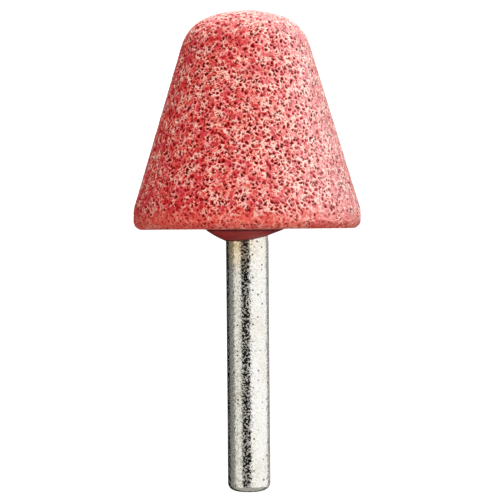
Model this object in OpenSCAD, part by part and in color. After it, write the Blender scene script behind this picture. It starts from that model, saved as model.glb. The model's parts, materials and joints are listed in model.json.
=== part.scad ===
// Mounted point: a pressed abrasive head cemented on a plain steel spindle.
// Millimetres, +Z up. The origin is the middle of the spindle's free end,
// the Z axis is the spindle's axis, and the head is at the top.

/* [Head] */
// Diameter of the head across its rim
head_d = 32; // [28:0.5:50]
// Height of the head from its flat base to the top of the crown
head_h = 30.7; // [26:0.1:36]
// Taper of the side, measured from upright
side_taper = 16.8; // [10:0.1:20]
// Height of the upright land between the base and the tapered side
land_h = 2.8; // [2.2:0.1:6]
// Radius of the edge between the base and the land
rim_r = 1.2; // [0.4:0.1:1.6]
// Radius that eases the land into the tapered side
land_blend_r = 5; // [2:0.5:8]
// Radius of the shoulder between the tapered side and the crown
shoulder_r = 6; // [3:0.1:8]
// Slope of the crown where it leaves the shoulder, measured from level
crown_slope = 21; // [8:0.5:40]

/* [Spindle] */
// Diameter of the spindle
spindle_d = 6; // [5:0.1:8]
// Length of the spindle below the head's base
free_l = 36.8; // [25:0.1:60]
// Radius of the rounded edge at the free end
end_r = 1; // [0.3:0.1:1.5]
// Depth of the spindle's keyed end inside the head
key_depth = 18; // [10:0.5:20]
// Step from the plain spindle in to the keyed end, tapered under the collar
key_step = 0.2; // [0.1:0.05:0.4]
// Depth of each keying groove
groove_depth = 0.4; // [0.2:0.05:0.6]
// Width of each keying groove at its floor
groove_w = 0.8; // [0.4:0.1:1.2]
// Distance from one keying groove to the next
groove_pitch = 2.8; // [2.4:0.1:5]
// Chamfer round the inner end
tip_chamfer = 0.6; // [0.2:0.1:1]

/* [Cement] */
// Cement between the plain spindle and the wall of the head's hole
cement_gap = 0.7; // [0.3:0.1:1.2]
// Cement over the spindle's inner end
cement_cap = 1; // [0.4:0.1:2]
// Diameter of the squeezed-out collar on the head's base
collar_d = 10.9; // [10.4:0.1:14]
// How far the collar's edge lies off the spindle's axis, towards its low side
collar_shift = 0.45; // [0:0.05:0.8]
// Thickness of the collar at its outer edge
collar_edge = 0.15; // [0.1:0.05:0.3]
// How far the collar runs down the spindle on its low side
collar_low = 1.7; // [1:0.1:2.4]
// How far the collar runs down the spindle on its high side
collar_high = 0.4; // [0.3:0.05:0.9]
// Width of the collar's lip round the spindle
collar_lip = 0.35; // [0.2:0.05:0.6]
// Direction of the collar's low side, turned from +X towards +Y
collar_turn = 230; // [0:5:360]

/* [Hidden] */

// Angle between neighbouring points of an arc in an outline
arc_step = 5;
// Sides of the collar's two rims
collar_sides = 48;
$fn = 96;

head_r = head_d / 2;
spindle_r = spindle_d / 2;
key_r = spindle_r - key_step;
hole_r = spindle_r + cement_gap;
base_z = free_l;
tip_z = base_z + key_depth;
// The plain length ends at the collar's low side, and tapers in from there to the keyed end
plain_z = base_z - collar_low;

function towards(angle) = [cos(angle), sin(angle)];

function arc(centre, radius, start, end) =
    let (steps = max(1, ceil((end - start) / arc_step)))
    [for (i = [0 : steps]) centre + radius * towards(start + (end - start) * i / steps)];

// Head's outline, as radius and height above the base: each arc runs tangent into the next
side_normal = towards(side_taper);
side_along = towards(side_taper + 90);
rim_c = [head_r - rim_r, rim_r];
// Without the blend, the land and the tapered side would meet at land_h
blend_c = [head_r - land_blend_r, land_h - land_blend_r * tan(side_taper / 2)];
// The shoulder's centre slides up along the side until the crown's top is at head_h: the top is
// shoulder_r above that centre, and higher by this share of the centre's radius
crown_lift = tan(crown_slope / 2);
shoulder_foot = blend_c + (land_blend_r - shoulder_r) * side_normal;
foot_top = shoulder_foot.y + crown_lift * shoulder_foot.x + shoulder_r;
lift_along = side_along.y + crown_lift * side_along.x;
shoulder_c = shoulder_foot + (head_h - foot_top) / lift_along * side_along;
shoulder_end = 90 - crown_slope;
crown_r = shoulder_r + shoulder_c.x / sin(crown_slope);
crown_c = [0, head_h - crown_r];

head_outline = concat(
    [[0, 0]],
    arc(rim_c, rim_r, -90, 0),
    arc(blend_c, land_blend_r, 0, side_taper),
    arc(shoulder_c, shoulder_r, side_taper, shoulder_end),
    arc(crown_c, crown_r, shoulder_end, 90)
);

// Keying grooves fill the keyed end, from the head's base to the chamfer at the inner end
groove_span = groove_w + 2 * groove_depth;
ridge_w = groove_pitch - groove_span;
groove_count = max(1, floor((key_depth - tip_chamfer - ridge_w) / groove_pitch));
function groove(top_z) = [
    [key_r, top_z - groove_span],
    [key_r - groove_depth, top_z - groove_span + groove_depth],
    [key_r - groove_depth, top_z - groove_depth],
    [key_r, top_z]
];

spindle_outline = concat(
    [[0, 0]],
    arc([spindle_r - end_r, end_r], end_r, -90, 0),
    [
        [spindle_r, plain_z],
        [key_r, base_z]
    ],
    [for (i = [1 : groove_count]) each groove(base_z + i * groove_pitch)],
    [
        [key_r, tip_z - tip_chamfer],
        [key_r - tip_chamfer, tip_z],
        [0, tip_z]
    ]
);

// The blind hole that the mould's core pin leaves in the head, run on through the collar's edge
module blind_hole() {
    translate([0, 0, base_z - collar_edge])
        cylinder(h = collar_edge + key_depth + cement_cap, r = hole_r);
}

// Cement squeezed out under the base: a leaning cone from a round edge to a lip on the spindle
module collar() {
    lip_r = spindle_r + collar_lip;
    lean = atan((collar_low - collar_high) / (2 * lip_r));
    rotate(collar_turn)
        hull($fn = collar_sides) {
            translate([collar_shift, 0, base_z - collar_edge])
                cylinder(h = collar_edge, d = collar_d);
            translate([0, 0, base_z - (collar_low + collar_high) / 2])
                rotate([0, lean, 0])
                    cylinder(h = collar_edge, r = lip_r);
        }
}

module abrasive_head() {
    color("indianred")
        difference() {
            translate([0, 0, base_z])
                rotate_extrude()
                    polygon(head_outline);
            blind_hole();
        }
}

module spindle() {
    color("silver")
        rotate_extrude()
            polygon(spindle_outline);
}

module cement() {
    color("brown")
        difference() {
            union() {
                blind_hole();
                collar();
            }
            spindle();
        }
}

abrasive_head();
spindle();
cement();
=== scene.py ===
import json
import math

import bpy
from mathutils import Matrix, Vector


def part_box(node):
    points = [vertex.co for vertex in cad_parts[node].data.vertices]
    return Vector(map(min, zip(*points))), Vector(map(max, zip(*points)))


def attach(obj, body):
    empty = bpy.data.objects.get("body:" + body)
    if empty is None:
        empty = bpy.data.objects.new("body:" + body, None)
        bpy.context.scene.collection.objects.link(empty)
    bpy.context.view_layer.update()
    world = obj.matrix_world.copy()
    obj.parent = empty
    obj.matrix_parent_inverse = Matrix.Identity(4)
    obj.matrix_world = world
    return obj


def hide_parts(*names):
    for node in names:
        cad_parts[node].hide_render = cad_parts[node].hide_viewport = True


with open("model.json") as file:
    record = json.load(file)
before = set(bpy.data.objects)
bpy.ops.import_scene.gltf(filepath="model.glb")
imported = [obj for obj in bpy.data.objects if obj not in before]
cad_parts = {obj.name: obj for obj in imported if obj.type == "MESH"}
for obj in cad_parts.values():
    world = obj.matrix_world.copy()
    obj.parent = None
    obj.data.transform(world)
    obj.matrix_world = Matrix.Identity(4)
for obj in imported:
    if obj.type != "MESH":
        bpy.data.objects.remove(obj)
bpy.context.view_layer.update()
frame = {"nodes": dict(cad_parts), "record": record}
mm = 0.001
nearly = 0.001  # millimetres that count as touching
print("frame loaded:", sorted(frame["nodes"]))

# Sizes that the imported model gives, in millimetres
headLow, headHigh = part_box("abrasive_head")
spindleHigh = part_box("spindle")[1]
cementLow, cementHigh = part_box("cement")
headRadius = headHigh.x / mm
headHeight = (headHigh.z - headLow.z) / mm
baseZ = headLow.z / mm
tipZ = spindleHigh.z / mm
holeTop = cementHigh.z / mm
collarRadius = (cementHigh.x - cementLow.x) / 2 / mm
collarMiddle = (cementHigh + cementLow).xy / 2 / mm  # the collar's edge lies off the axis
collarDrop = baseZ - cementLow.z / mm
spindleRadius = frame["record"]["mounts"][0]["dims"]["r_mm"]


def srgb(red, green, blue):  # a picked colour, as the shader's own linear values
    linear = [((c / 255 + 0.055) / 1.055) ** 2.4 if c > 10 else c / 3295 for c in (red, green, blue)]
    return (*linear, 1.0)


class Wire:  # an output socket: sums on it add Math nodes to its tree
    def __init__(self, tree, socket):
        self.tree = tree
        self.socket = socket

    def add(self, kind, settings=None, inputs=None, out=0):
        return startWire(self.tree, kind, settings, inputs, out)

    def other(self, name):  # another output of the same node
        return Wire(self.tree, self.socket.node.outputs[name])

    def maths(self, operation, first, second):
        return self.add("ShaderNodeMath", {"operation": operation}, {0: first, 1: second})

    def __add__(self, value):
        return self.maths("ADD", self, value)

    __radd__ = __add__

    def __sub__(self, value):
        return self.maths("SUBTRACT", self, value)

    def __rsub__(self, value):
        return self.maths("SUBTRACT", value, self)

    def __mul__(self, value):
        return self.maths("MULTIPLY", self, value)

    __rmul__ = __mul__

    def size(self):
        return self.add("ShaderNodeMath", {"operation": "ABSOLUTE"}, {0: self})

    def rise(self, start, end, low=0.0, high=1.0):  # a smooth step from low to high
        ends = {"From Min": start, "From Max": end, "To Min": low, "To Max": high}
        return self.add("ShaderNodeMapRange", {"interpolation_type": "SMOOTHSTEP"}, {"Value": self, **ends})

    def tint(self, first, second):  # this value mixes from the first colour to the second
        return self.add("ShaderNodeMix", {"data_type": "RGBA"}, {0: self, 6: first, 7: second}, 2)

    def scaled(self, factor):
        return self.add("ShaderNodeVectorMath", {"operation": "SCALE"}, {0: self, "Scale": factor})

    def shifted(self, offset):
        return self.add("ShaderNodeVectorMath", {"operation": "ADD"}, {0: self, 1: offset})

    def stretched(self, factors):
        return self.add("ShaderNodeVectorMath", {"operation": "MULTIPLY"}, {0: self, 1: factors})

    def part(self, axis):
        return self.add("ShaderNodeSeparateXYZ", {}, {0: self}, axis)

    def noise(self, scale, detail=2.0, roughness=0.5, out=0):
        return self.add("ShaderNodeTexNoise", {},
                        {"Vector": self, "Scale": scale, "Detail": detail, "Roughness": roughness}, out)

    def cells(self, scale, feature="F1"):
        return self.add("ShaderNodeTexVoronoi", {"feature": feature}, {"Vector": self, "Scale": scale})

    def bumped(self, distance, strength=1.0):  # a normal, from this value as a height
        return self.add("ShaderNodeBump", {},
                        {"Height": self, "Strength": strength, "Distance": distance * mm})


def startWire(tree, kind, settings=None, inputs=None, out=0):
    node = tree.nodes.new(kind)
    for name, value in (settings or {}).items():
        if name == "stops":  # a ramp's places and colours
            for i, (spot, colour) in enumerate(value):
                stop = node.color_ramp.elements[i] if i < 2 else node.color_ramp.elements.new(spot)
                stop.position = spot
                stop.color = colour
        else:
            setattr(node, name, value)
    for name, value in (inputs or {}).items():
        if isinstance(value, Wire):
            tree.links.new(value.socket, node.inputs[name])
        else:
            node.inputs[name].default_value = value
    return Wire(tree, node.outputs[out])


def emptyMaterial(name):
    material = bpy.data.materials.new(name)
    material.use_nodes = True
    material.node_tree.nodes.clear()
    return material


def show(shader, kind="ShaderNodeOutputMaterial"):  # links a shader to its tree's output
    output = shader.tree.nodes.new(kind)
    shader.tree.links.new(shader.socket, output.inputs["Surface"])


def newMaterial(name):  # with the piece's place in millimetres, before any relief
    material = emptyMaterial(name)
    tree = material.node_tree
    rest = startWire(tree, "ShaderNodeAttribute", {"attribute_name": "rest"}, out="Vector")
    return material, rest.scaled(1 / mm)


def finishMaterial(start, surface, matt=None):
    shader = start.add("ShaderNodeBsdfPrincipled", {}, surface)
    if matt:  # where this is 1, the surface has no gloss
        dull = start.add("ShaderNodeBsdfPrincipled", {}, {**surface, "Specular IOR Level": 0.0})
        shader = start.add("ShaderNodeMixShader", {}, {0: matt, 1: shader, 2: dull})
    show(shader)


# Outlines are lists of (radius, height) points in millimetres
def arcPoints(centre, radius, start, end, gap):
    steps = max(1, math.ceil(abs(math.radians(end - start)) * radius / gap))
    angles = [math.radians(start + (end - start) * i / steps) for i in range(steps + 1)]
    return [(centre[0] + radius * math.cos(a), centre[1] + radius * math.sin(a)) for a in angles]


def linePoints(first, last, gap):
    steps = max(1, math.ceil(math.dist(first, last) / gap))
    return [(first[0] + (last[0] - first[0]) * i / steps,
             first[1] + (last[1] - first[1]) * i / steps) for i in range(steps + 1)]


def joined(*runs):  # one outline, without the points that two runs share
    points = []
    for run in runs:
        points += [p for p in run if not points or math.dist(p, points[-1]) > nearly]
    return points


turned = dict(  # how an outline becomes a mesh
    fewestPoints=12,  # in a ring
    unwrapMargin=0.01,
    unwrapWide=0.95,  # the last point of a ring lies a little past one turn
    unwrapHigh=0.98,
)


def revolve(name, outline, gapAt, reliefAt=None, shape=None):
    rings = []  # each ring has about gapAt millimetres between its points
    places = []
    walked = []  # each point's way along the outline
    relief = []
    along = 0.0
    for i, (radius, height) in enumerate(outline):
        if i:
            along += math.dist(outline[i], outline[i - 1])
        count = 1
        if radius > nearly:
            count = max(turned["fewestPoints"], round(math.tau * radius / gapAt(radius, height)))
        turns = [(k + (i % 2) / 2) / count for k in range(count)]
        rings.append((len(places), turns))
        for turn in turns:
            angle = math.tau * turn
            spot = Vector((radius * math.cos(angle), radius * math.sin(angle), height))
            spot = shape(spot) if shape else spot
            places.append(spot * mm)
            walked.append(along)
            relief.append(reliefAt(spot) if reliefAt else 0.0)
    corners = []  # (vertex, turn) of each corner, three to a face
    for (startA, turnsA), (startB, turnsB) in zip(rings, rings[1:]):
        corners += zipRings(startA, turnsA, startB, turnsB)
    mesh = bpy.data.meshes.new(name)
    index = [c[0] for c in corners]
    mesh.from_pydata(places, [], [index[i:i + 3] for i in range(0, len(index), 3)])
    mesh.polygons.foreach_set("use_smooth", [True] * len(mesh.polygons))
    flat = [x for place in places for x in place]
    mesh.attributes.new("rest", "FLOAT_VECTOR", "POINT").data.foreach_set("vector", flat)
    mesh.attributes.new("relief", "FLOAT", "POINT").data.foreach_set("value", relief)
    unwrapped = []
    for vertex, turn in corners:
        unwrapped += [turned["unwrapMargin"] + turned["unwrapWide"] * turn,
                      turned["unwrapMargin"] + turned["unwrapHigh"] * walked[vertex] / along]
    mesh.uv_layers.new(name="OFBake").uv.foreach_set("vector", unwrapped)
    mesh.update()
    piece = bpy.data.objects.new(name, mesh)
    bpy.context.scene.collection.objects.link(piece)
    return piece


def zipRings(startA, turnsA, startB, turnsB):  # triangles between two rings, walked once round
    countA, countB = len(turnsA), len(turnsB)
    walkA = [(startA + k % countA, turnsA[k % countA] + k // countA) for k in range(countA + 1)]
    walkB = [(startB + k % countB, turnsB[k % countB] + k // countB) for k in range(countB + 1)]
    lastA = 0 if countA == 1 else countA
    lastB = 0 if countB == 1 else countB
    corners = []
    a = b = 0
    while a < lastA or b < lastB:
        if b == lastB or (a < lastA and walkA[a + 1][1] <= walkB[b + 1][1]):
            middle = (walkA[a][1] + walkA[a + 1][1]) / 2
            tip = walkB[b] if countB > 1 else (startB, middle)
            corners += [walkA[a], tip, walkA[a + 1]]
            a += 1
        else:
            middle = (walkB[b][1] + walkB[b + 1][1]) / 2
            tip = walkA[a] if countA > 1 else (startA, middle)
            corners += [tip, walkB[b], walkB[b + 1]]
            b += 1
    return corners


def carve(piece, depthAt):  # presses a pattern into the mesh, along its normals
    tree = bpy.data.node_groups.new(piece.name + "Relief", "GeometryNodeTree")
    tree.interface.new_socket("Geometry", in_out="INPUT", socket_type="NodeSocketGeometry")
    tree.interface.new_socket("Geometry", in_out="OUTPUT", socket_type="NodeSocketGeometry")
    whole = startWire(tree, "NodeGroupInput")
    place = whole.add("GeometryNodeInputPosition").scaled(1 / mm)
    relief = whole.add("GeometryNodeInputNamedAttribute", {"data_type": "FLOAT"}, {"Name": "relief"})
    offset = whole.add("GeometryNodeInputNormal").scaled(depthAt(place) * relief * -mm)
    carved = whole.add("GeometryNodeSetPosition", {}, {"Geometry": whole, "Offset": offset})
    output = tree.nodes.new("NodeGroupOutput")
    tree.links.new(carved.socket, output.inputs[0])
    piece.modifiers.new("relief", "NODES").node_group = tree
    graph = bpy.context.evaluated_depsgraph_get()
    shaped = piece.evaluated_get(graph)
    mesh = bpy.data.meshes.new_from_object(shaped, preserve_all_data_layers=True, depsgraph=graph)
    piece.modifiers.clear()
    piece.data = mesh


def dress(piece, node, material, mirrored=True):
    piece.data.materials.clear()
    piece.data.materials.append(material)
    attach(piece, "root")
    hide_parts(node)
    piece.visible_glossy = mirrored
    print(piece.name, "stands for", node, "with", len(piece.data.polygons), "faces")


# Abrasive head
head = dict(
    sideTaper=16.8,  # degrees from upright
    landHeight=2.8,
    rimRadius=1.2,
    landBlend=5.0,
    shoulderRadius=6.0,
    crownSlope=21.0,  # degrees from level, where the crown leaves the shoulder
    holeRadius=3.7,
    seatMargin=0.2,  # kept flat round the collar
    outerGap=0.178,  # between the mesh's points
    baseGap=0.32,
    holeGap=1.2,
    # the cells: a red hollow in the middle of each, and pale lace along the walls
    cellGap=0.54,  # from one hollow's middle to the next
    cellGain=0.5,  # how far one cell's red differs from the next
    cellShift=(17, 5, 23),  # shifts keep the patterns apart
    cellAxis=(0.6, 0.5, 0.62),  # turned, so that no row of cells follows the head
    cellTurn=0.8,
    wanderRate=1.8,
    wander=0.55,  # how far an outline strays
    fineWanderRate=4.4,
    fineWander=0.37,
    ragged=0.3,  # how uneven a hollow's edge is
    hollowEdge=(0.28, 0.17),  # from a hollow's middle, where it begins and where it is full
    poreEdge=(0.20, 0.145),
    openShare=(-0.12, 0.20),  # the luck a hollow needs to be an open pore
    openGain=1.5,  # more of them open in the pale patches
    laceEdge=(0.105, 0.045),  # from a cell's wall
    laceShare=0.88,
    lacePatchGain=1.4,  # more lace in the pale patches
    laceGain=1.3,
    # grains, and red and pale patches
    startTone=-0.31,  # before patches, grains and lace add to it
    patchRate=0.9,  # in a millimetre
    patchGain=0.9,
    boldSide=(2, 12),  # bolder patches towards +X
    boldGain=1.2,
    grainRate=3.2,
    grainGain=0.6,
    grainShift=(8, 2, 29),
    # the smoother band over the base, where use wore the crown, and the side at +X, which is painted light:
    # smoother and with paler pores where the lamps fall
    rimBand=(4.6, 2.6),  # heights where it begins and where it is full
    rimStray=3.0,
    rimSmooth=0.16,
    rimClosing=0.05,  # how much smaller the hollows are there
    wornCrown=6.0,  # down from the top
    # painted light: the lit side at +X, made to look worn
    wornSide=(5, 13),
    wornSideShare=0.45,
    wornSmooth=0.35,
    wornClosing=0.03,
    # relief
    hollowDepth=0.13,
    patchDepth=0.07,
    swellRate=0.45,
    swell=0.05,  # slow rise and fall of the surface
    chipRate=1.2,
    chipEdge=(0.5, 0.7),
    chipBand=(0.9, 0.1),  # heights, at the base's edge
    chip=0.24,
    fineRate=9.0,
    fineShare=0.5,
    bump=0.03,
    bumpStrength=0.6,
    # colours
    stops=[  # from the reddest patch to the palest
        (0.04, srgb(206, 16, 26)),
        (0.32, srgb(224, 46, 48)),
        (0.56, srgb(238, 96, 82)),
        (0.74, srgb(247, 149, 128)),
        (0.90, srgb(255, 184, 164)),
        (1.00, srgb(255, 206, 188)),
    ],
    blushRate=0.25,  # broad redder and paler areas
    blushGain=0.45,
    blushShift=(5, 23, 9),
    cleanSide=(2, -11),  # painted shade: redder and darker towards -X, the side turned from the lamps
    cleanGain=0.19,
    crimson=srgb(226, 70, 98),  # cooler spots
    crimsonRate=0.9,
    crimsonEdge=(0.48, 0.66),
    crimsonShare=0.35,
    crimsonShift=(41, 3, 12),
    coral=srgb(255, 112, 94),  # the band over the base
    coralShare=0.5,
    hollow=srgb(184, 20, 26),
    hollowShare=0.7,
    redPore=srgb(108, 1, 1),
    brownPore=srgb(80, 4, 1),
    brownEdge=(0.4, 0.75),  # browner pores in paler patches
    rimPoreFade=0.25,
    wornPoreFade=0.42,
    roughness=0.6,
    gloss=0.25,
    hollowMatt=0.3,
    poreMatt=0.7,
    wornPoreGloss=0.3,
)


def headOutline():
    taper = math.radians(head["sideTaper"])
    shoulder, blend, rim = head["shoulderRadius"], head["landBlend"], head["rimRadius"]
    outward = Vector((math.cos(taper), math.sin(taper)))
    upSide = Vector((-math.sin(taper), math.cos(taper)))
    lift = math.tan(math.radians(head["crownSlope"]) / 2)
    blendAt = Vector((headRadius - blend, head["landHeight"] - blend * math.tan(taper / 2)))
    foot = blendAt + (blend - shoulder) * outward
    footTop = foot.y + lift * foot.x + shoulder
    shoulderAt = foot + (headHeight - footTop) / (upSide.y + lift * upSide.x) * upSide
    crown = shoulder + shoulderAt.x / math.sin(math.radians(head["crownSlope"]))
    shoulderEnd = 90 - head["crownSlope"]
    gap = head["outerGap"] * math.sqrt(3) / 2  # rows of near equal-sided triangles
    crownArc = arcPoints((0, headHeight - crown), crown, 90, shoulderEnd, gap)
    shoulderArc = arcPoints(shoulderAt, shoulder, shoulderEnd, head["sideTaper"], gap)
    blendArc = arcPoints(blendAt, blend, head["sideTaper"], 0, gap)
    rimArc = arcPoints((headRadius - rim, rim), rim, 0, -90, gap)
    side = linePoints(shoulderArc[-1], blendArc[0], gap)
    land = linePoints(blendArc[-1], rimArc[0], gap)
    holeEdge = (head["holeRadius"], 0)
    holeRoof = (head["holeRadius"], holeTop - baseZ)
    base = linePoints(rimArc[-1], holeEdge, head["baseGap"])
    hole = linePoints(holeEdge, holeRoof, head["holeGap"])
    roof = linePoints(holeRoof, (0, holeRoof[1]), head["holeGap"])
    crownArc[0] = (0, headHeight)
    points = joined(crownArc, shoulderArc, side, blendArc, land, rimArc, base, hole, roof)
    return [(r, z + baseZ) for r, z in points]


def headGap(radius, height):
    if radius <= head["holeRadius"] and height < holeTop + nearly:
        return head["holeGap"]
    return head["baseGap"] if height < baseZ + nearly else head["outerGap"]


def headRelief(spot):  # none in the hole or where the collar seats
    inHole = spot.xy.length < head["holeRadius"] + nearly and spot.z < holeTop + nearly
    seatRadius = collarRadius + head["seatMargin"]
    onSeat = (spot.xy - collarMiddle).length < seatRadius and spot.z < baseZ + nearly
    return 0.0 if inHole or onSeat else 1.0


def strayedPlace(place):  # turned and stirred, so that the cells have no order
    strayed = place.add("ShaderNodeVectorRotate", {},
                        {"Vector": place, "Axis": head["cellAxis"], "Angle": head["cellTurn"]})
    for rate, reach in (("wanderRate", "wander"), ("fineWanderRate", "fineWander")):
        strayed = strayed.shifted(place.noise(head[rate], 1.0, out=1).scaled(head[reach]))
    return strayed


def grainPattern(place):  # the same pattern is pressed into the mesh and coloured
    height = place.part(2) - baseZ
    strayed = strayedPlace(place)
    swell = place.noise(head["swellRate"])
    rimBand = (height + swell * head["rimStray"]).rise(*head["rimBand"])
    worn = height.rise(headHeight - head["wornCrown"], headHeight)
    # real wear at the crown, plus painted light on the lit side at +X, smoother and with paler pores
    worn = worn + place.part(0).rise(*head["wornSide"]) * head["wornSideShare"]
    grains = strayed.shifted(head["grainShift"]).noise(head["grainRate"], 1.5, 0.55) - 0.5
    patch = strayed.noise(head["patchRate"], 2.0, 0.6) - 0.5
    shifted = strayed.shifted(head["cellShift"])
    cells = shifted.cells(1 / head["cellGap"])
    luck = cells.other("Color")
    away = cells * head["cellGap"] + grains * head["ragged"]  # from a hollow's middle
    away = away + rimBand * head["rimClosing"] + worn * head["wornClosing"]
    opened = (luck.part(0) + patch * head["openGain"]).rise(*head["openShare"])
    hollow = away.rise(*head["hollowEdge"]) * opened
    pore = away.rise(*head["poreEdge"]) * opened
    edge = shifted.cells(1 / head["cellGap"], "DISTANCE_TO_EDGE") * head["cellGap"]
    lace = edge.rise(*head["laceEdge"]) * (head["laceShare"] + patch * head["lacePatchGain"])
    own = (luck.part(1) - 0.5) * head["cellGain"]
    blotched = patch * (head["patchGain"] + place.part(0).rise(*head["boldSide"]) * head["boldGain"])
    tone = own + head["startTone"] + blotched + grains * head["grainGain"] + lace * head["laceGain"]
    smooth = rimBand * head["rimSmooth"] + worn * head["wornSmooth"]
    tone = tone + smooth * (0.5 - tone)
    return dict(height=height, swell=swell, rimBand=rimBand, worn=worn, tone=tone, pore=pore, hollow=hollow)


def grainDepth(place):
    pattern = grainPattern(place)
    chips = place.noise(head["chipRate"], 3.0, 0.6).rise(*head["chipEdge"])
    chips = chips * pattern["height"].rise(*head["chipBand"])
    dips = pattern["hollow"] * head["hollowDepth"] + pattern["tone"].rise(1.0, 0.0) * head["patchDepth"]
    return dips + pattern["swell"] * head["swell"] + chips * head["chip"]


def abrasiveMaterial():
    material, place = newMaterial("pressedAbrasive")
    pattern = grainPattern(place)
    rimBand, worn, hollow, pore = (pattern[name] for name in ("rimBand", "worn", "hollow", "pore"))
    blush = place.shifted(head["blushShift"]).noise(head["blushRate"])
    tone = pattern["tone"] + (0.5 - blush) * head["blushGain"]
    # painted shade: the tone falls towards -X, away from the light
    tone = tone - place.part(0).rise(*head["cleanSide"]) * head["cleanGain"]
    colour = tone.add("ShaderNodeValToRGB", {"stops": head["stops"]}, {0: tone})
    cooler = place.shifted(head["crimsonShift"]).noise(head["crimsonRate"], 2.0, 0.6)
    cooler = cooler.rise(*head["crimsonEdge"]) * head["crimsonShare"]
    colour = cooler.tint(colour, head["crimson"])
    colour = (rimBand * head["coralShare"]).tint(colour, head["coral"])
    colour = (hollow * head["hollowShare"]).tint(colour, head["hollow"])
    poreColour = tone.rise(*head["brownEdge"]).tint(head["redPore"], head["brownPore"])
    # the pores fade where the crown is worn and, as painted light, on the lit side at +X
    poreShare = 1.0 - rimBand * head["rimPoreFade"] - worn * head["wornPoreFade"]
    colour = (pore * poreShare).tint(colour, poreColour)
    rise = place.noise(head["fineRate"], 3.0, 0.65) * head["fineShare"] - hollow
    finishMaterial(place, {
        "Base Color": colour,
        "Roughness": head["roughness"],
        "Specular IOR Level": head["gloss"],
        "Normal": rise.bumped(head["bump"], head["bumpStrength"]),
    }, matt=hollow * head["hollowMatt"] + pore * (head["poreMatt"] - worn * head["wornPoreGloss"]))
    return material


def makeHead():
    piece = revolve("abrasiveHead", headOutline(), headGap, headRelief)
    carve(piece, grainDepth)
    # not mirrored, so that no red shows in the steel
    dress(piece, "abrasive_head", abrasiveMaterial(), mirrored=False)
    return piece


# Steel spindle
spindle = dict(
    endRadius=1.0,  # of the rounded edge at the free end
    keyStep=0.2,
    grooveDepth=0.4,
    grooveWidth=0.8,
    groovePitch=2.8,
    tipChamfer=0.6,
    gap=0.24,  # between the mesh's points
    endGap=0.1,
    hiddenGap=0.6,
    colour=srgb(238, 236, 230),
    roughness=0.07,
    ripple=0.03,
    stain=srgb(218, 211, 194),
    stainRate=0.35,
    stainDraw=0.4,  # longer along the pin
    stainEdge=(0.45, 0.75),
    stainShare=0.5,
    stainRough=0.1,
    speckleRate=3.8,  # rough spots in a millimetre
    speckleEdge=(0.505, 0.545),
    speckleShare=0.25,
    speckleRough=0.40,
    pit=srgb(70, 66, 58),
    pitGap=0.75,
    pitLuck=(0.7, 1.0),  # few of the places have a pit
    pitRadius=0.15,
    pitEdge=(0.02, -0.03),
    pitShare=0.8,
    pitRough=0.25,
    pitDepth=0.6,
    plainEnd=(0.4, 0.9),  # heights below which there are none
    markHeight=19.9,  # a faint ring that a collet left
    markEdge=(0.16, 0.05),
    markRate=2.6,
    markBreaks=(0.46, 0.6),
    markShare=0.6,
    scorch=srgb(244, 206, 140),  # painted reflection: the collar's warm tan, painted on the steel just below it
    scorchBand=(7.0, 2.0),  # below the head's base, where it begins and where it is full
    scorchSide=(1.5, -1.5),  # stronger towards -X
    scorchShare=(0.12, 0.6),
)


def spindleOutline():
    keyRadius = spindleRadius - spindle["keyStep"]
    depth, width, pitch = spindle["grooveDepth"], spindle["grooveWidth"], spindle["groovePitch"]
    chamfer = spindle["tipChamfer"]
    span = width + 2 * depth
    keyLength = tipZ - baseZ
    count = max(1, math.floor((keyLength - chamfer - (pitch - span)) / pitch))
    top = [(0, tipZ), (keyRadius - chamfer, tipZ), (keyRadius, tipZ - chamfer)]
    for i in range(count, 0, -1):
        high = baseZ + i * pitch
        top += [(keyRadius, high), (keyRadius - depth, high - depth),
                (keyRadius - depth, high - span + depth), (keyRadius, high - span)]
    top += [(keyRadius, baseZ), (spindleRadius, baseZ - collarDrop)]
    end = spindle["endRadius"]
    runs = [linePoints(a, b, spindle["hiddenGap"]) for a, b in zip(top, top[1:])]
    wall = linePoints(top[-1], (spindleRadius, end), spindle["gap"])
    rounding = arcPoints((spindleRadius - end, end), end, 0, -90, spindle["endGap"])
    rounding[-1] = (spindleRadius - end, 0)
    face = linePoints(rounding[-1], (0, 0), spindle["gap"])
    return joined(*runs, wall, rounding, face)


def spindleGap(radius, height):
    return spindle["hiddenGap"] if height > baseZ else spindle["gap"]


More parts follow.
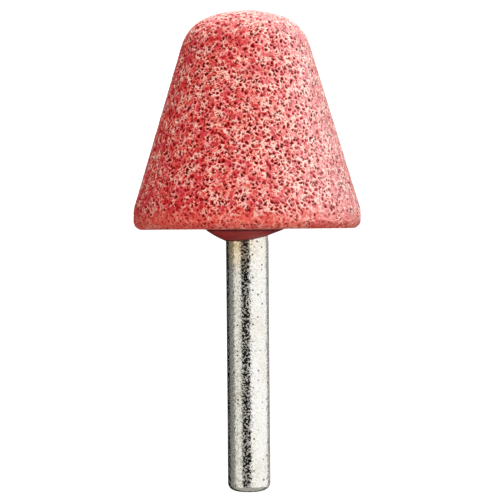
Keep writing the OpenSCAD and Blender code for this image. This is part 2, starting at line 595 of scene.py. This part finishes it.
def steelMaterial():
    material, place = newMaterial("groundSteel")
    height = place.part(2)
    dapple = place.noise(spindle["speckleRate"], 1.0)
    speckle = dapple.rise(*spindle["speckleEdge"])
    drawn = place.stretched((1, 1, spindle["stainDraw"]))
    stain = drawn.noise(spindle["stainRate"], 3.0, 0.6).rise(*spindle["stainEdge"])
    around = place.maths("ARCTAN2", place.part(0), place.part(1) * -1) * spindleRadius
    wrapped = place.add("ShaderNodeCombineXYZ", {}, {"X": around, "Y": height})  # splits at the back
    pits = wrapped.add("ShaderNodeTexVoronoi", {"voronoi_dimensions": "2D"},
                       {"Vector": wrapped, "Scale": 1 / spindle["pitGap"]})
    reach = pits.other("Color").part(0).rise(*spindle["pitLuck"], 0.0, spindle["pitRadius"])
    pit = (pits * spindle["pitGap"] - reach).rise(*spindle["pitEdge"])
    mark = (height - spindle["markHeight"]).size().rise(*spindle["markEdge"])
    mark = mark * place.noise(spindle["markRate"], 1.0).rise(*spindle["markBreaks"])
    pit = pit.maths("MAXIMUM", pit, mark * spindle["markShare"]) * height.rise(*spindle["plainEnd"])
    dull = stain * spindle["stainShare"] + speckle * spindle["speckleShare"]
    colour = dull.tint(spindle["colour"], spindle["stain"])
    # painted reflection of the collar in the steel below it, stronger towards -X
    reflected = (baseZ - height).rise(*spindle["scorchBand"])
    reflected = reflected * place.part(0).rise(*spindle["scorchSide"], *spindle["scorchShare"])
    colour = reflected.tint(colour, spindle["scorch"])
    colour = (pit * spindle["pitShare"]).tint(colour, spindle["pit"])
    rough = spindle["roughness"] + speckle * spindle["speckleRough"]
    rough = rough + stain * spindle["stainRough"] + pit * spindle["pitRough"]
    rise = dapple - pit * spindle["pitDepth"]
    finishMaterial(place, {
        "Base Color": colour,
        "Metallic": 1.0,
        "Roughness": rough,
        "Normal": rise.bumped(spindle["ripple"]),
    })
    return material


def makeSpindle():
    piece = revolve("spindle.turned", spindleOutline(), spindleGap)
    dress(piece, "spindle", steelMaterial())
    return piece


# Cement collar and the sleeve above it
cement = dict(
    lowSide=230.0,  # degrees from +X towards +Y
    lowDrop=1.65,  # how far the collar runs down the spindle
    highDrop=0.35,
    lip=0.35,
    edge=0.15,
    bulge=0.12,
    gap=0.25,  # between the mesh's points
    hiddenGap=0.6,
    colour=srgb(187, 51, 46),
    dark=srgb(157, 37, 35),
    mottleRate=0.9,
    mottleEdge=(0.35, 0.7),
    grime=srgb(64, 12, 10),  # painted shade: darker where the collar meets the spindle and under the head's base
    grimeShare=0.75,
    pinCrease=(1.0, 0.45),  # out from the spindle
    seamCrease=(-0.06, 0.18),  # up to the head's base, and stirred
    seamRate=1.6,
    seamStray=0.6,
    fineRate=4.0,
    bump=0.02,
    bumpStrength=0.4,
    roughness=0.5,
)


def collarShape(spot):  # leans the collar towards its low side, where its edge lies farther out
    below = spot.z < baseZ - nearly
    inner = spindleRadius + cement["lip"] if below else head["holeRadius"]
    share = (spot.xy.length - inner) / (collarRadius - inner)
    shift = collarMiddle * max(0.0, share)
    height = spot.z
    if below:
        lean = (1 + math.cos(math.atan2(spot.y, spot.x) - math.radians(cement["lowSide"]))) / 2
        drop = cement["highDrop"] + (cement["lowDrop"] - cement["highDrop"]) * lean
        height = baseZ + (spot.z - baseZ) / collarDrop * drop
    return Vector((spot.x + shift.x, spot.y + shift.y, height))


def cementOutline():
    wallRadius = head["holeRadius"]
    keyed = [(r, z) for r, z in spindleOutline() if z >= baseZ - nearly]
    low = baseZ - collarDrop
    outside = [(0, holeTop), (wallRadius, holeTop), (wallRadius, baseZ), (collarRadius, baseZ)]
    runs = [linePoints(a, b, cement["hiddenGap"]) for a, b in zip(outside, outside[1:])]
    lip = (spindleRadius + cement["lip"], low)
    slope = linePoints((collarRadius, baseZ - cement["edge"]), lip, cement["gap"])
    last = len(slope) - 1
    bulged = [(r, z - cement["bulge"] * math.sin(math.pi * i / last)) for i, (r, z) in enumerate(slope)]
    inside = linePoints(lip, (spindleRadius, low), cement["gap"])
    up = linePoints((spindleRadius, low), keyed[-1], cement["gap"])
    return joined(*runs, bulged, inside, up, keyed[::-1])


def cementGap(radius, height):
    return cement["hiddenGap"] if height > baseZ else cement["gap"]


def cementMaterial():
    material, place = newMaterial("setCement")
    mottle = place.noise(cement["mottleRate"], 3.0, 0.6).rise(*cement["mottleEdge"])
    colour = mottle.tint(cement["colour"], cement["dark"])
    level = place.stretched((1, 1, 0))
    outward = level.add("ShaderNodeVectorMath", {"operation": "LENGTH"}, {0: level}, "Value") - spindleRadius
    atPin = outward.rise(*cement["pinCrease"])
    ragged = place.part(2) - baseZ + place.noise(cement["seamRate"]) * cement["seamStray"]
    # painted shade in the creases at the spindle and under the head's base, with a ragged edge
    crease = atPin.maths("MAXIMUM", atPin, ragged.rise(*cement["seamCrease"]))
    colour = (crease * cement["grimeShare"]).tint(colour, cement["grime"])
    fine = place.noise(cement["fineRate"], 3.0, 0.6)
    finishMaterial(place, {
        "Base Color": colour,
        "Roughness": cement["roughness"],
        "Normal": fine.bumped(cement["bump"], cement["bumpStrength"]),
    })
    return material


def makeCement():
    piece = revolve("cementCollar", cementOutline(), cementGap, shape=collarShape)
    dress(piece, "cement", cementMaterial())
    return piece


# Camera, floor and lights
view = dict(
    distance=185.0,
    aside=0.38,  # the axis stands a little left of the picture's middle
    lens=94.4,
    sensor=36.0,
    near=0.01,  # metres
    far=50.0,
    pitch=-0.905,  # degrees
    roll=-0.48,
)
studio = dict(
    floorSize=8.0,  # metres
    floor=srgb(244, 244, 244),
    floorGlow=0.8,
    sky=0.585,
    skyDark=0.12,  # behind and to the left
    darkSide=(-0.7, 0.7, 0.0),
    darkEdge=(0.1, 0.9),
    skyTop=0.42,  # dimmer overhead
    topEdge=(0.1, 0.9),
    skyGloss=0.02,  # the share of it that shows as gloss
    skyGlossRight=0.4,
    rightEdge=(0.0, 0.6),
    backdrop=1.2,
    # azimuth from the camera towards +X, elevation, distance, size, power,
    # whether it lights more than gloss, and whether it lights the steel and floor
    lamps=[
        ("keySoftbox", 8, 40, 0.7, 0.5, 3.0, True, True),
        ("sheenSoftbox", 85, 24, 0.6, 0.6, 31.0, False, False),
        ("topSoftbox", 165, 72, 0.6, 0.8, 25.0, False, False),
        ("backSoftbox", 180, 12, 0.7, 0.5, 3.0, True, False),
    ],
    tentRadius=120.0,
    tentLow=-70.0,
    tentHigh=150.0,
    # each card's start and end azimuth, and its light
    cards=[
        (-180, -118, (0.002, 0.002, 0.002)),
        (-118, -78, (0.195, 0.195, 0.19)),
        (-78, -36, (0.92, 0.92, 0.88)),
        (-36, 12, (0.010, 0.010, 0.009)),
        (12, 119, (1.15, 1.15, 1.18)),
        (119, 180, (0.28, 0.28, 0.28)),
    ],
    cardStep=3,  # degrees
    underCard=(0.42, 0.41, 0.39),  # shows in the spindle's rounded end
    underBack=0.2,  # how far back it reaches, as a share of the tent
)


def makeCamera():
    camera = bpy.data.objects.new("camera", bpy.data.cameras.new("camera"))
    camera.data.lens = view["lens"]
    camera.data.sensor_width = view["sensor"]
    camera.data.clip_start = view["near"]
    camera.data.clip_end = view["far"]
    turn = Matrix.Rotation(math.radians(90 + view["pitch"]), 4, "X")
    roll = Matrix.Rotation(math.radians(view["roll"]), 4, "Z")
    spot = Matrix.Translation((view["aside"] * mm, -view["distance"] * mm, baseZ * mm))
    camera.matrix_world = spot @ turn @ roll
    bpy.context.scene.collection.objects.link(camera)
    bpy.context.scene.camera = camera


def makeFloor():
    half = studio["floorSize"] / 2
    mesh = bpy.data.meshes.new("floor")
    places = [(-half, -half, 0), (half, -half, 0), (half, half, 0), (-half, half, 0)]
    mesh.from_pydata(places, [], [(0, 1, 2, 3)])
    floor = bpy.data.objects.new("floor", mesh)
    material = emptyMaterial("paleFloor")
    pale = startWire(material.node_tree, "ShaderNodeBsdfDiffuse", {}, {"Color": studio["floor"]})
    glow = pale.add("ShaderNodeEmission", {}, {"Strength": studio["floorGlow"]})
    seen = pale.add("ShaderNodeLightPath", out="Is Camera Ray")
    lit = pale.add("ShaderNodeAddShader", {}, {0: pale, 1: glow})
    show(pale.add("ShaderNodeMixShader", {}, {0: seen, 1: pale, 2: lit}))
    mesh.materials.append(material)
    bpy.context.scene.collection.objects.link(floor)
    floor.visible_glossy = False


def makeCard(name, places, faces, light, lit):
    mesh = bpy.data.meshes.new(name)
    mesh.from_pydata(places, [], faces)
    card = bpy.data.objects.new(name, mesh)
    material = emptyMaterial(name)
    show(startWire(material.node_tree, "ShaderNodeEmission", {}, {"Color": (*light, 1.0), "Strength": 1.0}))
    mesh.materials.append(material)
    bpy.context.scene.collection.objects.link(card)
    card.visible_camera = card.visible_diffuse = card.visible_shadow = False
    card.visible_transmission = card.visible_volume_scatter = False
    card.light_linking.receiver_collection = lit


def makeCards(steel):  # they give the steel its bands, and light nothing else
    lit = bpy.data.collections.new("steelOnly")
    lit.objects.link(steel)
    radius, low, high = (studio[name] * mm for name in ("tentRadius", "tentLow", "tentHigh"))
    for start, end, light in studio["cards"]:
        steps = max(2, round((end - start) / studio["cardStep"]))
        places = []
        for i in range(steps + 1):
            angle = math.radians(start + (end - start) * i / steps)
            x, y = math.sin(angle) * radius, -math.cos(angle) * radius
            places += [(x, y, low), (x, y, high)]
        faces = [(2 * i, 2 * i + 1, 2 * i + 3, 2 * i + 2) for i in range(steps)]
        makeCard(f"card.{start + 180:03d}", places, faces, light, lit)
    back = studio["underBack"] * radius
    under = [(-radius, -radius, low), (radius, -radius, low), (radius, back, low), (-radius, back, low)]
    makeCard("card.under", under, [(0, 1, 2, 3)], studio["underCard"], lit)


def makeSky():
    world = bpy.data.worlds.new("studio")
    bpy.context.scene.world = world
    world.use_nodes = True
    world.node_tree.nodes.clear()
    seen = startWire(world.node_tree, "ShaderNodeLightPath", out="Is Camera Ray")
    look = seen.add("ShaderNodeTexCoord", out="Generated")
    away = look.add("ShaderNodeVectorMath", {"operation": "DOT_PRODUCT"},
                    {0: look, 1: studio["darkSide"]}, "Value")
    sky = away.rise(*studio["darkEdge"], studio["sky"], studio["skyDark"])
    sky = sky * look.part(2).rise(*studio["topEdge"], 1.0, studio["skyTop"])
    gloss = look.part(0).rise(*studio["rightEdge"], studio["skyGloss"], studio["skyGlossRight"])
    sky = sky * (1 - (1 - gloss) * seen.other("Is Glossy Ray"))
    strength = sky + seen * (studio["backdrop"] - sky)
    lit = seen.add("ShaderNodeBackground", {}, {"Color": (1, 1, 1, 1), "Strength": strength})
    show(lit, "ShaderNodeOutputWorld")


def makeLamps(mattPieces):
    dusty = bpy.data.collections.new("mattOnly")  # what most lamps light
    for piece in mattPieces:
        dusty.objects.link(piece)
    middle = Vector((0, 0, (baseZ + headHeight / 2) * mm))
    for name, azimuth, elevation, distance, size, power, matt, everything in studio["lamps"]:
        lamp = bpy.data.lights.new(name, "AREA")
        lamp.shape = "SQUARE"
        lamp.size = size
        lamp.energy = power
        box = bpy.data.objects.new(name, lamp)
        turn, rise = math.radians(azimuth), math.radians(elevation)
        level = math.cos(rise)
        toBox = Vector((math.sin(turn) * level, -math.cos(turn) * level, math.sin(rise)))
        box.location = middle + toBox * distance
        box.rotation_euler = toBox.to_track_quat("Z", "Y").to_euler()
        box.visible_diffuse = matt
        if not everything:
            box.light_linking.receiver_collection = dusty
        bpy.context.scene.collection.objects.link(box)


bpy.context.scene.view_settings.view_transform = "Standard"
stone, steel, collar = makeHead(), makeSpindle(), makeCement()
makeCamera()
makeFloor()
makeCards(steel)
makeSky()
makeLamps([stone, collar])
print("camera and studio are set")
